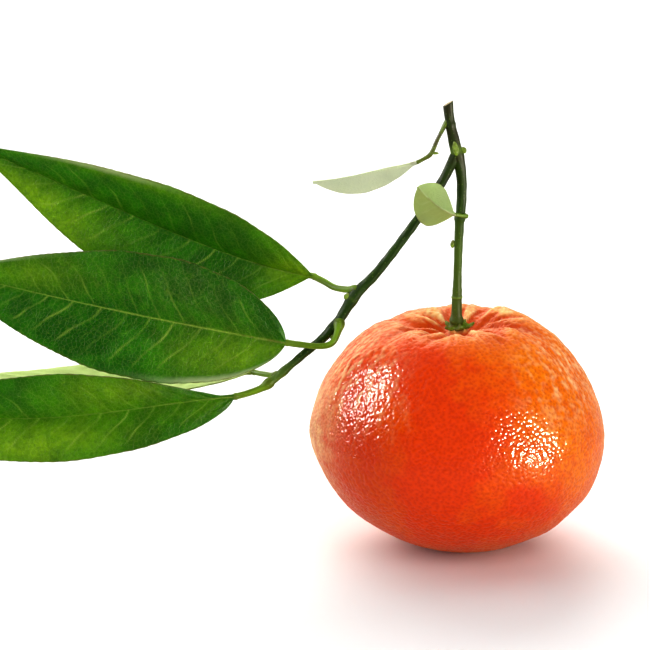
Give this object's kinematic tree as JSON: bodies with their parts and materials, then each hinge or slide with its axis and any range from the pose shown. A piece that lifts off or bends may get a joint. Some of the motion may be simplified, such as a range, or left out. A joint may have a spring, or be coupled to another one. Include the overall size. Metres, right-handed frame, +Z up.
{
  "type": "mandarin",
  "caption": "Whole mandarin with its calyx, a cut woody stem and a leafy side twig; it rests on a small flat spot under the fruit.",
  "frame": {"origin": "centre of the small flat spot under the fruit, on the surface it rests on", "axes": "+Z up out of the fruit's stem basin; the leafy side twig reaches out towards -X; -Y is the side the leaves' upper faces look to"},
  "size_m": [0.1597, 0.0636, 0.0976],
  "materials": {
    "peel": "satin",
    "calyx_green": "matte",
    "bark": "matte",
    "petiole_green": "satin",
    "leaf_dark": "satin",
    "leaf_pale": "satin",
    "leaf_young_green": "satin",
    "bud_green": "matte"
  },
  "bodies": {
    "root": {"fruit": "peel", "calyx": "calyx_green", "main_stem": "bark", "side_twig": "bark", "petiole_upper": "petiole_green", "petiole_middle": "petiole_green", "petiole_lower": "petiole_green", "petiole_rear": "petiole_green", "petiole_top": "petiole_green", "petiole_young": "petiole_green", "leaf_upper": "leaf_dark", "leaf_middle": "leaf_dark", "leaf_lower": "leaf_dark", "leaf_rear": "leaf_pale", "leaf_top": "leaf_pale", "leaf_young": "leaf_young_green", "bud_fork": "bud_green", "bud_stem_right": "bud_green", "bud_stem_left": "bud_green", "bud_axil_upper": "bud_green", "bud_axil_middle": "bud_green", "spur_top": "bud_green"}
  },
  "joints": []
}
